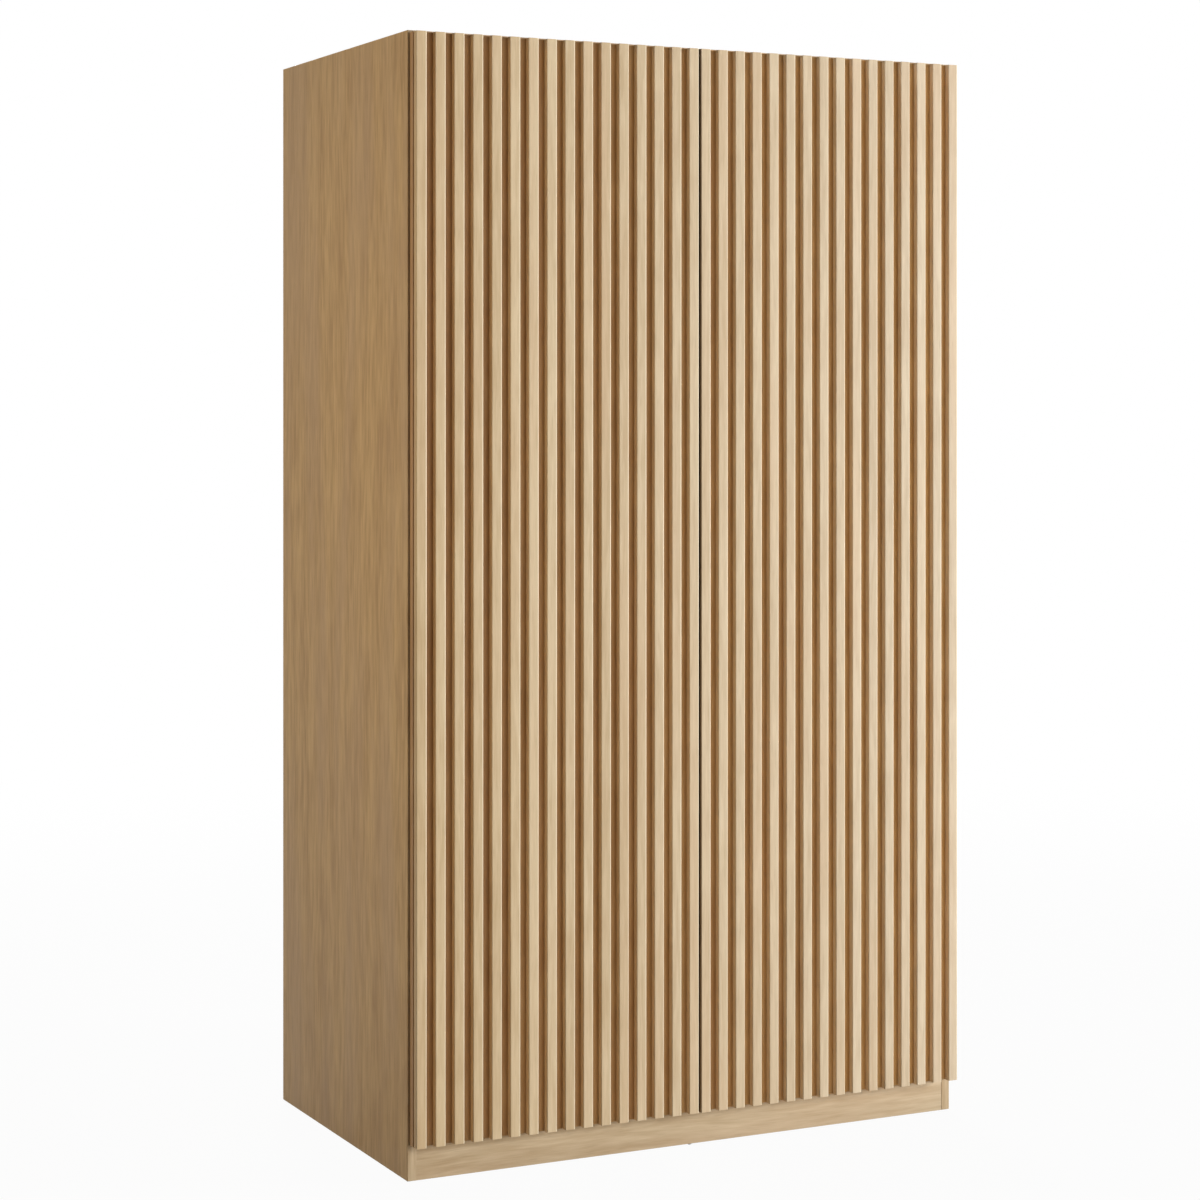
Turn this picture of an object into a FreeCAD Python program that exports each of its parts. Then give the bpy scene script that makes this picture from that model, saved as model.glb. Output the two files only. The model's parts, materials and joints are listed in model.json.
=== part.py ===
"""Two-door wardrobe with vertically slatted doors on concealed link hinges.

Millimetres. Origin at the middle of the footprint on the floor, +X to the right seen from the front,
+Y to the back (the doors face -Y), +Z up. What comes in a left and a right version is modelled on
one side and mirrored across X = 0. Dowels and cam bolts are pressed or driven into the boards, and
the link pins are pressed into the hinge arms and cups, so those pieces share space with what holds
them.
"""

import FreeCAD
import Part
import math
import os
from FreeCAD import Rotation, Vector

# ---------------------------------------------------------------- driving dimensions
# doors: a flat backing board with slats glued on
SLAT_COUNT = 16
SLAT_WIDTH = 17.0
SLAT_PITCH = 32.0
SLAT_DEPTH = 12.5
SLAT_ARRIS = 1.0
DOOR_BOARD = 15.0
DOOR_BOTTOM_Z = 60.0
DOOR_TOP_Z = 1796.0
DOOR_GAP = 2.5                    # door's back face to the carcass's front edges
CENTRE_GAP = 5.0                  # between the two doors
SIDE_REVEAL = 3.0                 # side panel's outer face to the door's outer edge

# carcass
HEIGHT = 1800.0
DEPTH = 600.0
BOARD = 15.0
PLINTH_TOP_Z = 60.0
PLINTH_REAR_INSET = 30.0
BACK_THICKNESS = 3.0
BACK_INSET = 12.0                 # back panels' rear face to the side panels' rear edges
GROOVE_DEPTH = 7.0
GROOVE_SLACK = 0.1                # on each face of a back panel
GROOVE_END_GAP = 0.5
SHELF_BOTTOM_Z = 1470.0
SHELF_FRONT_SETBACK = 20.0
SHELF_REAR_GAP = 2.0

# strip that joins the two back panels
STRIP_FLANGE_HALF = 9.0
STRIP_FLANGE = 1.0
STRIP_WEB_HALF = 0.75
STRIP_FIT = 0.15
STRIP_END_GAP = 0.5

# oval hanging rail and its end brackets
RAIL_HALF_HEIGHT = 15.0
RAIL_RADIUS = 7.5
RAIL_WALL = 1.0
RAIL_CENTRE_Z = 1418.0
RAIL_CENTRE_Y = 10.0
RAIL_END_GAP = 0.5
RAIL_FIT = 0.15
SOCKET_WALL = 2.0
SOCKET_LENGTH = 12.0
SOCKET_PLATE = 2.5
SOCKET_PLATE_HALF_HEIGHT = 34.0
SOCKET_PLATE_HALF_WIDTH = 11.0

# cam fittings and dowels, one of each per row at each end of a board
CAM_RADIUS = 7.5
CAM_DEPTH = 12.5
CAM_RECESS = 0.3                  # cam's face below the board's face
CAM_SETBACK = 34.0                # cam's axis to the board's end
BOLT_RADIUS = 3.0
BOLT_IN_SIDE = 11.0
BOLT_IN_BOARD = 29.0
DOWEL_RADIUS = 4.0
DOWEL_IN_SIDE = 11.0
DOWEL_IN_BOARD = 19.0
DOWEL_OFFSET = 32.0
ROW_SETBACKS = (60.0, 500.0)      # cam rows, from the carcass's front edge
PLINTH_CAM_Z = 40.0
PLINTH_DOWEL_OFFSET = 16.0

# floor glides
GLIDE_HEIGHT = 3.0
GLIDE_RADIUS = 7.0
GLIDE_INSET = 35.0

# wall-fixing angles
ANGLE_LEG = 40.0
ANGLE_WIDTH = 22.0
ANGLE_THICKNESS = 2.0
ANGLE_BEND_RADIUS = 2.5
ANGLE_SPACING = 700.0
ANGLE_HOLE_RADIUS = 2.75
ANGLE_HOLE_DROP = 25.0

# push-to-open latches
LATCH_FROM_CENTRE = 45.0
LATCH_HALF_WIDTH = 10.0
LATCH_HEIGHT = 17.0
LATCH_LENGTH = 76.0
LATCH_SETBACK = 1.5
LATCH_NOSE_CHAMFER = 2.0
LATCH_EAR_REACH = 9.0
LATCH_EAR_THICKNESS = 3.0
LATCH_EAR_HALF_LENGTH = 7.0
LATCH_EAR_SETBACK = 40.0
LATCH_BORE_DEPTH = 66.0
PLUNGER_RADIUS = 4.5
PLUNGER_FIT = 0.3
PLUNGER_LENGTH = 60.0
STRIKE_RADIUS = 8.0
STRIKE_THICKNESS = 1.2
STRIKE_GAP = 0.4                  # plunger's tip to the strike plate

# sides of the prisms that stand for round pieces
DOWEL_SIDES = 6
PIN_SIDES = 8
ROUND_SIDES = 12
CUP_SIDES = 24

# concealed hinges: plan positions of a left hinge, measured from the side panel's outer face (x)
# and from the carcass's front edge (y, negative towards the front)
ARM_PIN_OUTER = (39.5, 4.2)       # outer link on the arm
ARM_PIN_INNER = (33.4, -9.1)      # inner link on the arm
CUP_PIN_OUTER = (14.5, -3.8)      # outer link on the cup
CUP_PIN_INNER = (15.9, -8.1)      # inner link on the cup, in a slot
OUTER_LINK_BEND = (17.4, -4.7)
INNER_LINK_BEND = (24.6, -11.6)
SLOT_CENTRE = (15.5, -9.0)        # slot for the inner link's cup pin
SLOT_ANGLE = 48.0
SLOT_HALF_WIDTH = 1.6
SLOT_HALF_STRAIGHT = 0.95
SLOT_WALL = 0.8
PIN_RADIUS = 1.2
PIN_FIT = 0.05
LINK_HALF_WIDTH = 1.15
ARM_EYE_RADIUS = 2.4
CUP_EYE_RADIUS = 2.05
LINK_WEB_SHARES = (0.2, 0.42)     # where the outer link's web starts and ends along its cheeks

# half widths of the hinge's layers along Z, from the middle outwards
INNER_LINK_Z = 4.5
STUB_PIN_START_Z = 4.8
OUTER_LINK_Z = (4.9, 6.5)
ARM_CHEEK_Z = (6.9, 8.2)
CUP_POCKET_Z = 8.6
CUP_PIN_END_Z = 10.0

HINGE_COUNT = 3
HINGE_END_DISTANCE = 90.0         # end hinges' middle to the door's ends

# hinge cups
CUP_CENTRE_X = 25.5
CUP_RADIUS = 17.5
CUP_DEPTH = 11.5
CUP_BORE_DEPTH = 12.0
CUP_FLANGE = 1.0
CUP_FLANGE_RADIUS = 18.0
CUP_POCKET_X = (11.7, 38.9)
CUP_POCKET_DEPTH = 10.6
CUP_EAR_OFFSET = 6.0
CUP_EAR_HALF_HEIGHT = 30.0
CUP_EAR_HALF_WIDTH = 6.5
CUP_EAR_CHAMFER = 4.0

# hinge arms: edges of a cheek from the mounting plate to the pins and back
ARM_SHEET = 1.3
ARM_SEAT_X = 17.3
ARM_SEAT_FRONT_Y = 24.0
ARM_REAR_Y = 62.0
ARM_INNER_EDGE = ((24.0, 10.0), (29.0, -1.0), (31.2, -9.1), (31.9, -11.2))
ARM_NOSE_EDGE = ((34.9, -11.2), (38.4, -1.2), (41.7, 2.4))
ARM_OUTER_EDGE = ((41.7, 12.0), (26.5, 42.0), (26.5, ARM_REAR_Y))

# mounting plates
PLATE_BASE = 2.0
PLATE_Y = (24.0, 62.0)
PLATE_HALF_WIDTH = 9.0
PLATE_WING_Y = 37.0               # middle of the wings, from the carcass's front edge
PLATE_WING_HALF_LENGTH = 7.0
PLATE_WING_HALF_HEIGHT = 23.0
PLATE_WING_CHAMFER = 4.0
PLATE_RISER_X = 21.0
PLATE_RISER_Y = (26.0, 60.0)
PLATE_RISER_HALF_WIDTH = 6.4

# ---------------------------------------------------------------- worked-out values
DOOR_WIDTH = (SLAT_COUNT - 1) * SLAT_PITCH + SLAT_WIDTH
WIDTH = 2 * DOOR_WIDTH + CENTRE_GAP + 2 * SIDE_REVEAL
HALF_WIDTH = WIDTH / 2
INNER_HALF = HALF_WIDTH - BOARD
DOOR_FRONT_Y = -DEPTH / 2
BOARD_FRONT_Y = DOOR_FRONT_Y + SLAT_DEPTH
DOOR_BACK_Y = BOARD_FRONT_Y + DOOR_BOARD
FRONT_Y = DOOR_BACK_Y + DOOR_GAP
BACK_Y = DEPTH / 2
BACK_REAR_Y = BACK_Y - BACK_INSET
BACK_FRONT_Y = BACK_REAR_Y - BACK_THICKNESS
TOP_UNDERSIDE_Z = HEIGHT - BOARD
BOTTOM_TOP_Z = PLINTH_TOP_Z + BOARD
PLINTH_REAR_Y = BACK_FRONT_Y - PLINTH_REAR_INSET
ROWS_Y = [FRONT_Y + setback for setback in ROW_SETBACKS]
DOOR_OUTER_X = HALF_WIDTH - SIDE_REVEAL
HINGE_SPACING = (DOOR_TOP_Z - DOOR_BOTTOM_Z - 2 * HINGE_END_DISTANCE) / (HINGE_COUNT - 1)
HINGES_Z = [DOOR_BOTTOM_Z + HINGE_END_DISTANCE + number * HINGE_SPACING
            for number in range(HINGE_COUNT)]

X_AXIS = Vector(1, 0, 0)
Y_AXIS = Vector(0, 1, 0)
Z_AXIS = Vector(0, 0, 1)


# ---------------------------------------------------------------- helpers
def box(x0, x1, y0, y1, z0, z1):
    return Part.makeBox(x1 - x0, y1 - y0, z1 - z0, Vector(x0, y0, z0))


def rod(radius, length, start, direction=Z_AXIS):
    return Part.makeCylinder(radius, length, Vector(*start), direction)


def prism_rod(radius, length, start, direction=Z_AXIS, sides=ROUND_SIDES):
    """Many-sided prism that stands for a round piece."""
    step = 2 * math.pi / sides
    corners = [Vector(radius * math.cos(step * i), radius * math.sin(step * i), 0)
               for i in range(sides)]
    solid = Part.Face(Part.makePolygon(corners + [corners[0]])).extrude(Vector(0, 0, length))
    solid.Placement = FreeCAD.Placement(Vector(*start), Rotation(Z_AXIS, direction))
    return solid


def extruded(corners, travel):
    """Polygon through corners, extruded along travel."""
    corners = [Vector(*corner) for corner in corners]
    return Part.Face(Part.makePolygon(corners + [corners[0]])).extrude(travel)


def prism(outline, z0, z1):
    """Plan outline of (x, y) points, extruded from z0 to z1."""
    return extruded([(x, y, z0) for x, y in outline], Vector(0, 0, z1 - z0))


def chamfered_rectangle(half_u, half_v, chamfer):
    """Corners of a rectangle about (0, 0) with cut corners."""
    near_u, near_v = half_u - chamfer, half_v - chamfer
    quarter = [(half_u, near_v), (near_u, half_v)]
    upper = quarter + [(-u, v) for u, v in reversed(quarter)]
    return upper + [(-u, -v) for u, v in upper]


def stadium(half_height, radius, x0, x1, y, z):
    """Upright oval section that runs along X."""
    straight = half_height - radius
    ends = [rod(radius, x1 - x0, (x0, y, z + side * straight), X_AXIS) for side in (-1, 1)]
    middle = box(x0, x1, y - radius, y + radius, z - straight, z + straight)
    return middle.fuse(ends).removeSplitter()


def mirrored(shape):
    return shape.mirror(Vector(), X_AXIS)


def both_sides(shapes):
    return [*shapes, *(mirrored(shape) for shape in shapes)]


def cut(shape, tools):
    return shape.cut(Part.Compound(list(tools)))


def save(node, shapes):
    shapes = shapes if isinstance(shapes, list) else [shapes]
    shape = shapes[0] if len(shapes) == 1 else Part.Compound(shapes)
    shape.exportStep("parts/" + node + ".step")


def save_pair(node, shapes, side):
    """A node modelled on one side, and its mirror image on the other."""
    other = {"left": "right", "right": "left"}[side]
    save(node + "_" + side, shapes)
    save(node + "_" + other, [mirrored(shape) for shape in shapes])


# ---------------------------------------------------------------- joint hardware
def board_end_fittings(y, z, housing, dowel_shift):
    """Cam, its pocket, cam bolt and dowel at the right end of a board.

    They are laid out with the board's end at x = 0 and the cam's face down; housing is the angle
    about X that turns the cam's face from there.
    """
    end = Vector(INNER_HALF, y, z)
    face_z = -BOARD / 2
    cam = prism_rod(CAM_RADIUS, CAM_DEPTH, (-CAM_SETBACK, 0, face_z + CAM_RECESS))
    pocket = prism_rod(CAM_RADIUS, CAM_RECESS + CAM_DEPTH, (-CAM_SETBACK, 0, face_z))
    bolt = prism_rod(BOLT_RADIUS, BOLT_IN_BOARD + BOLT_IN_SIDE, (-BOLT_IN_BOARD, 0, 0), X_AXIS,
                     DOWEL_SIDES)
    dowel = prism_rod(DOWEL_RADIUS, DOWEL_IN_BOARD + DOWEL_IN_SIDE, (-DOWEL_IN_BOARD, 0, 0), X_AXIS,
                      DOWEL_SIDES)
    for piece in (cam, pocket):
        piece.rotate(Vector(), X_AXIS, housing)
    return {"cam": cam.translated(end), "pocket": pocket.translated(end),
            "bolt": bolt.translated(end), "dowel": dowel.translated(end + dowel_shift)}


def carcass_fittings():
    """Right-hand fittings of each board between the side panels."""
    half = BOARD / 2
    fittings = {}
    for board, z in (("top_panel", TOP_UNDERSIDE_Z), ("bottom_panel", PLINTH_TOP_Z),
                     ("hat_shelf", SHELF_BOTTOM_Z)):
        fittings[board] = [board_end_fittings(y, z + half, 0, Vector(0, DOWEL_OFFSET, 0))
                           for y in ROWS_Y]
    down = Vector(0, 0, -PLINTH_DOWEL_OFFSET)
    for board, y, housing in (("plinth_front", FRONT_Y + half, 90),
                              ("plinth_rear", PLINTH_REAR_Y - half, -90)):
        fittings[board] = [board_end_fittings(y, PLINTH_CAM_Z, housing, down)]
    return fittings


# ---------------------------------------------------------------- carcass boards
def side_panel():
    """Right side panel, grooved for the back panel."""
    panel = box(INNER_HALF, HALF_WIDTH, FRONT_Y, BACK_Y, GLIDE_HEIGHT, HEIGHT)
    groove = box(INNER_HALF, INNER_HALF + GROOVE_DEPTH, BACK_FRONT_Y - GROOVE_SLACK,
                 BACK_REAR_Y + GROOVE_SLACK, GLIDE_HEIGHT, HEIGHT)
    return panel.cut(groove)


def cross_boards():
    """Boards between the side panels, before their cam pockets."""
    x0, x1 = -INNER_HALF, INNER_HALF
    top = box(x0, x1, FRONT_Y, BACK_Y, TOP_UNDERSIDE_Z, HEIGHT)
    groove = box(x0, x1, BACK_FRONT_Y - GROOVE_SLACK, BACK_REAR_Y + GROOVE_SLACK,
                 TOP_UNDERSIDE_Z, TOP_UNDERSIDE_Z + GROOVE_DEPTH)
    shelf_y = (FRONT_Y + SHELF_FRONT_SETBACK, BACK_FRONT_Y - SHELF_REAR_GAP)
    return {
        "top_panel": top.cut(groove),
        "bottom_panel": box(x0, x1, FRONT_Y, BACK_FRONT_Y, PLINTH_TOP_Z, BOTTOM_TOP_Z),
        "hat_shelf": box(x0, x1, *shelf_y, SHELF_BOTTOM_Z, SHELF_BOTTOM_Z + BOARD),
        "plinth_front": box(x0, x1, FRONT_Y, FRONT_Y + BOARD, GLIDE_HEIGHT, PLINTH_TOP_Z),
        "plinth_rear": box(x0, x1, PLINTH_REAR_Y - BOARD, PLINTH_REAR_Y, GLIDE_HEIGHT, PLINTH_TOP_Z),
    }


def back_panel():
    """Right back panel: in the side's and the top's grooves, and in the joining strip."""
    return box(STRIP_WEB_HALF + STRIP_FIT, INNER_HALF + GROOVE_DEPTH - GROOVE_END_GAP,
               BACK_FRONT_Y, BACK_REAR_Y,
               PLINTH_TOP_Z, TOP_UNDERSIDE_Z + GROOVE_DEPTH - GROOVE_END_GAP)


def back_joining_strip():
    """H-section between the back panels."""
    z0, z1 = BOTTOM_TOP_Z + STRIP_END_GAP, TOP_UNDERSIDE_Z - STRIP_END_GAP
    front, rear = BACK_FRONT_Y - STRIP_FIT, BACK_REAR_Y + STRIP_FIT
    outer, inner = STRIP_FLANGE_HALF, STRIP_WEB_HALF
    right_half = [(outer, front - STRIP_FLANGE), (outer, front), (inner, front),
                  (inner, rear), (outer, rear), (outer, rear + STRIP_FLANGE)]
    left_half = [(-x, y) for x, y in reversed(right_half)]
    return prism(right_half + left_half, z0, z1)


def floor_glides():
    """Discs under the side panels' corners and the middles of the plinth boards."""
    side_x = HALF_WIDTH - BOARD / 2
    places = [(side * side_x, y) for side in (-1, 1)
              for y in (FRONT_Y + GLIDE_INSET, BACK_Y - GLIDE_INSET)]
    places += [(0, FRONT_Y + BOARD / 2), (0, PLINTH_REAR_Y - BOARD / 2)]
    return [prism_rod(GLIDE_RADIUS, GLIDE_HEIGHT, (x, y, 0)) for x, y in places]


# ---------------------------------------------------------------- hanging rail
def hanging_rail():
    half = INNER_HALF - SOCKET_PLATE - RAIL_END_GAP
    outer = stadium(RAIL_HALF_HEIGHT, RAIL_RADIUS, -half, half, RAIL_CENTRE_Y, RAIL_CENTRE_Z)
    inner = stadium(RAIL_HALF_HEIGHT - RAIL_WALL, RAIL_RADIUS - RAIL_WALL, -half, half,
                    RAIL_CENTRE_Y, RAIL_CENTRE_Z)
    return outer.cut(inner)


def rail_bracket():
    """Right-hand socket: a plate on the side panel with an oval collar round the rail's end."""
    face_x = INNER_HALF - SOCKET_PLATE
    start_x = face_x - SOCKET_LENGTH
    wall = RAIL_FIT + SOCKET_WALL
    y, z = RAIL_CENTRE_Y, RAIL_CENTRE_Z
    outline = chamfered_rectangle(SOCKET_PLATE_HALF_WIDTH, SOCKET_PLATE_HALF_HEIGHT,
                                  SOCKET_PLATE_HALF_WIDTH / 2)
    plate = extruded([(face_x, y + u, z + v) for u, v in outline], Vector(SOCKET_PLATE, 0, 0))
    collar = stadium(RAIL_HALF_HEIGHT + wall, RAIL_RADIUS + wall, start_x, face_x, y, z)
    bore = stadium(RAIL_HALF_HEIGHT + RAIL_FIT, RAIL_RADIUS + RAIL_FIT, start_x, face_x, y, z)
    return plate.fuse(collar).cut(bore)


# ---------------------------------------------------------------- wall-fixing angles
def wall_angle():
    """Right-hand angle under the top panel, and the bore for the wall's screw."""
    x = ANGLE_SPACING / 2
    half = ANGLE_WIDTH / 2
    rear, top = BACK_FRONT_Y, TOP_UNDERSIDE_Z
    flat = box(x - half, x + half, rear - ANGLE_LEG, rear, top - ANGLE_THICKNESS, top)
    upright = box(x - half, x + half, rear - ANGLE_THICKNESS, rear, top - ANGLE_LEG, top)
    angle = flat.fuse(upright).removeSplitter()
    bend = [edge for edge in angle.Edges
            if edge.CenterOfMass.isEqual(Vector(x, rear, top), ANGLE_THICKNESS / 2)]
    wall_bore = rod(ANGLE_HOLE_RADIUS, ANGLE_THICKNESS + BACK_THICKNESS,
                    (x, rear - ANGLE_THICKNESS, top - ANGLE_HOLE_DROP), Y_AXIS)
    return angle.makeFillet(ANGLE_BEND_RADIUS, bend).cut(wall_bore), wall_bore


# ---------------------------------------------------------------- hinges (left, at z = 0)
def plan(point):
    """Position in the wardrobe of a hinge's plan point."""
    return (point[0] - HALF_WIDTH, point[1] + FRONT_Y)


def plan_prism(outline, z0, z1):
    return prism([plan(point) for point in outline], z0, z1)


def layer(shape_at, span):
    """The same plan form on both sides of the hinge's middle, between two distances from it."""
    near, far = span
    return [shape_at(near, far), shape_at(-far, -near)]


def disc(centre, radius, z0, z1, sides=ROUND_SIDES):
    return prism_rod(radius, z1 - z0, (*plan(centre), z0), sides=sides)


def pin(centre, z0, z1):
    return disc(centre, PIN_RADIUS, z0, z1, PIN_SIDES)


def pin_hole(centre, z0, z1):
    """Hole whose flats clear a pin by the running fit."""
    return disc(centre, (PIN_RADIUS + PIN_FIT) / math.cos(math.pi / ROUND_SIDES), z0, z1)


def strap(start, end, half_width, z0, z1):
    """Straight bar between two plan points, with ends rounded in flats."""
    heading = math.atan2(end[1] - start[1], end[0] - start[0])
    half_sides = ROUND_SIDES // 2
    outline = []
    for (x, y), first in ((start, heading + math.pi / 2), (end, heading - math.pi / 2)):
        for number in range(half_sides + 1):
            angle = first + number * math.pi / half_sides
            outline.append((x + half_width * math.cos(angle), y + half_width * math.sin(angle)))
    return plan_prism(outline, z0, z1)


def bent_link(arm_pin, bend, cup_end, z0, z1):
    """Bar with a bend, and the eye at its arm end."""
    straps = [strap(arm_pin, bend, LINK_HALF_WIDTH, z0, z1),
              strap(bend, cup_end, LINK_HALF_WIDTH, z0, z1)]
    return disc(arm_pin, ARM_EYE_RADIUS, z0, z1).fuse(straps)


def outer_link():
    """Two cheeks joined by a web; they turn on the arm's outer pin and the cup's two stub pins."""
    def cheek(z0, z1):
        bar = bent_link(ARM_PIN_OUTER, OUTER_LINK_BEND, CUP_PIN_OUTER, z0, z1)
        bar = bar.fuse(disc(CUP_PIN_OUTER, CUP_EYE_RADIUS, z0, z1))
        return cut(bar, [pin_hole(centre, z0, z1) for centre in (ARM_PIN_OUTER, CUP_PIN_OUTER)])

    web_ends = [tuple(a + share * (b - a) for a, b in zip(ARM_PIN_OUTER, OUTER_LINK_BEND))
                for share in LINK_WEB_SHARES]
    reach = OUTER_LINK_Z[1]
    web = strap(*web_ends, LINK_HALF_WIDTH, -reach, reach)
    return web.fuse(layer(cheek, OUTER_LINK_Z)).removeSplitter()


def inner_link():
    """Solid bar; its cup end has a slot, the pivot at which the linkage is open."""
    z0, z1 = -INNER_LINK_Z, INNER_LINK_Z
    angle = math.radians(SLOT_ANGLE)
    shift = (SLOT_HALF_STRAIGHT * math.cos(angle), SLOT_HALF_STRAIGHT * math.sin(angle))
    slot_ends = [tuple(c + side * s for c, s in zip(SLOT_CENTRE, shift)) for side in (-1, 1)]
    eye = strap(*slot_ends, SLOT_HALF_WIDTH + SLOT_WALL, z0, z1)
    slot = strap(*slot_ends, SLOT_HALF_WIDTH, z0, z1)
    bar = bent_link(ARM_PIN_INNER, INNER_LINK_BEND, SLOT_CENTRE, z0, z1)
    return cut(bar.fuse(eye), [slot, pin_hole(ARM_PIN_INNER, z0, z1)]).removeSplitter()


def arm_pins():
    far = ARM_CHEEK_Z[1]
    return [pin(centre, -far, far) for centre in (ARM_PIN_INNER, ARM_PIN_OUTER)]


def cup_pins():
    """The inner link's through pin, and the outer link's stub pins that leave the inner link room."""
    far = CUP_PIN_END_Z
    stubs = layer(lambda z0, z1: pin(CUP_PIN_OUTER, z0, z1), (STUB_PIN_START_Z, far))
    return [pin(CUP_PIN_INNER, -far, far), *stubs]


def hinge_arm():
    """Folded sheet channel: two tapering cheeks that carry the link pins, and the web between."""
    seat = [(ARM_SEAT_X, ARM_REAR_Y), (ARM_SEAT_X, ARM_SEAT_FRONT_Y)]
    outline = [*seat, *ARM_INNER_EDGE, *ARM_NOSE_EDGE, *ARM_OUTER_EDGE]
    inside_web = [(x - ARM_SHEET, y) for x, y in reversed(ARM_OUTER_EDGE)]
    reach = ARM_CHEEK_Z[1]
    web = plan_prism([*ARM_OUTER_EDGE, *inside_web], -reach, reach)
    cheeks = layer(lambda z0, z1: plan_prism(outline, z0, z1), ARM_CHEEK_Z)
    return web.fuse(cheeks).removeSplitter()


def mounting_plate():
    """Winged plate on the side panel, with the riser that the arm straddles."""
    side_x = plan((BOARD, 0))[0]
    wing_y = plan((0, PLATE_WING_Y))[1]
    outline = chamfered_rectangle(PLATE_WING_HALF_LENGTH, PLATE_WING_HALF_HEIGHT, PLATE_WING_CHAMFER)
    wings = extruded([(side_x, wing_y + u, v) for u, v in outline], Vector(PLATE_BASE, 0, 0))
    base_y = [plan((0, y))[1] for y in PLATE_Y]
    riser_y = [plan((0, y))[1] for y in PLATE_RISER_Y]
    base = box(side_x, side_x + PLATE_BASE, *base_y, -PLATE_HALF_WIDTH, PLATE_HALF_WIDTH)
    riser = box(side_x, plan((PLATE_RISER_X, 0))[0], *riser_y,
                -PLATE_RISER_HALF_WIDTH, PLATE_RISER_HALF_WIDTH)
    return base.fuse([wings, riser]).removeSplitter()


def hinge_cup():
    """Cup with flange and screw ears, and the bore for it in the door's board."""
    x = plan((CUP_CENTRE_X, 0))[0]
    top_y = DOOR_BACK_Y + CUP_FLANGE
    body = prism_rod(CUP_RADIUS, CUP_DEPTH, (x, DOOR_BACK_Y - CUP_DEPTH, 0), Y_AXIS, CUP_SIDES)
    flange = prism_rod(CUP_FLANGE_RADIUS, CUP_FLANGE, (x, DOOR_BACK_Y, 0), Y_AXIS, CUP_SIDES)
    outline = chamfered_rectangle(CUP_EAR_HALF_WIDTH, CUP_EAR_HALF_HEIGHT, CUP_EAR_CHAMFER)
    ears = extruded([(x + CUP_EAR_OFFSET + u, DOOR_BACK_Y, v) for u, v in outline],
                    Vector(0, CUP_FLANGE, 0))
    pocket_x = [plan((edge, 0))[0] for edge in CUP_POCKET_X]
    pocket = box(*pocket_x, DOOR_BACK_Y - CUP_POCKET_DEPTH, top_y, -CUP_POCKET_Z, CUP_POCKET_Z)
    bore = prism_rod(CUP_RADIUS, CUP_BORE_DEPTH, (x, DOOR_BACK_Y - CUP_BORE_DEPTH, 0), Y_AXIS,
                     CUP_SIDES)
    return body.fuse([flange, ears]).removeSplitter().cut(pocket), bore


def at_hinges(shapes):
    """Copies of shapes modelled at z = 0, one set at each hinge of a door."""
    return [shape.translated(Vector(0, 0, z)) for z in HINGES_Z for shape in shapes]


# ---------------------------------------------------------------- push-to-open latches (right)
def latch():
    """Housing under the top panel with a sliding plunger, and the door's strike plate."""
    x = LATCH_FROM_CENTRE
    y0 = FRONT_Y + LATCH_SETBACK
    top = TOP_UNDERSIDE_Z
    axis_z = top - LATCH_HEIGHT / 2
    half, nose = LATCH_HALF_WIDTH, LATCH_NOSE_CHAMFER
    outline = [(x - half + nose, y0), (x + half - nose, y0), (x + half, y0 + nose),
               (x + half, y0 + LATCH_LENGTH), (x - half, y0 + LATCH_LENGTH), (x - half, y0 + nose)]
    body = prism(outline, top - LATCH_HEIGHT, top)
    ear_y = y0 + LATCH_EAR_SETBACK
    reach = half + LATCH_EAR_REACH
    ears = box(x - reach, x + reach, ear_y - LATCH_EAR_HALF_LENGTH, ear_y + LATCH_EAR_HALF_LENGTH,
               top - LATCH_EAR_THICKNESS, top)
    bore = prism_rod(PLUNGER_RADIUS + PLUNGER_FIT, LATCH_BORE_DEPTH, (x, y0, axis_z), Y_AXIS)
    tip_y = DOOR_BACK_Y + STRIKE_THICKNESS + STRIKE_GAP
    return {
        "latch_housing": body.fuse(ears).removeSplitter().cut(bore),
        "latch_plunger": prism_rod(PLUNGER_RADIUS, PLUNGER_LENGTH, (x, tip_y, axis_z), Y_AXIS),
        "latch_strike": prism_rod(STRIKE_RADIUS, STRIKE_THICKNESS, (x, DOOR_BACK_Y, axis_z), Y_AXIS,
                                  CUP_SIDES),
    }


# ---------------------------------------------------------------- doors (left)
def door_board(bores):
    board = box(-DOOR_OUTER_X, -DOOR_OUTER_X + DOOR_WIDTH, BOARD_FRONT_Y, DOOR_BACK_Y,
                DOOR_BOTTOM_Z, DOOR_TOP_Z)
    return cut(board, bores)


def slats():
    """Slats with eased front corners; the first and the last are flush with the door's edges."""
    arris = SLAT_ARRIS
    front, back = DOOR_FRONT_Y, BOARD_FRONT_Y
    outline = [(0, back), (0, front + arris), (arris, front), (SLAT_WIDTH - arris, front),
               (SLAT_WIDTH, front + arris), (SLAT_WIDTH, back)]
    slat = prism(outline, DOOR_BOTTOM_Z, DOOR_TOP_Z)
    return [slat.translated(Vector(-DOOR_OUTER_X + number * SLAT_PITCH, 0, 0))
            for number in range(SLAT_COUNT)]


# ---------------------------------------------------------------- the wardrobe
def save_carcass():
    fittings = carcass_fittings()
    every = [fitting for row in fittings.values() for fitting in row]
    save_pair("side_panel", [side_panel()], "right")
    for board, shape in cross_boards().items():
        save(board, cut(shape, both_sides([fitting["pocket"] for fitting in fittings[board]])))
    for node, piece in (("cam_locks", "cam"), ("cam_bolts", "bolt"), ("dowels", "dowel")):
        save(node, both_sides([fitting[piece] for fitting in every]))

    angle, wall_bore = wall_angle()
    save("wall_angles", both_sides([angle]))
    save_pair("back_panel", [back_panel().cut(wall_bore)], "right")
    save("back_joining_strip", back_joining_strip())
    save("floor_glides", floor_glides())
    save("hanging_rail", hanging_rail())
    save("rail_brackets", both_sides([rail_bracket()]))


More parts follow.
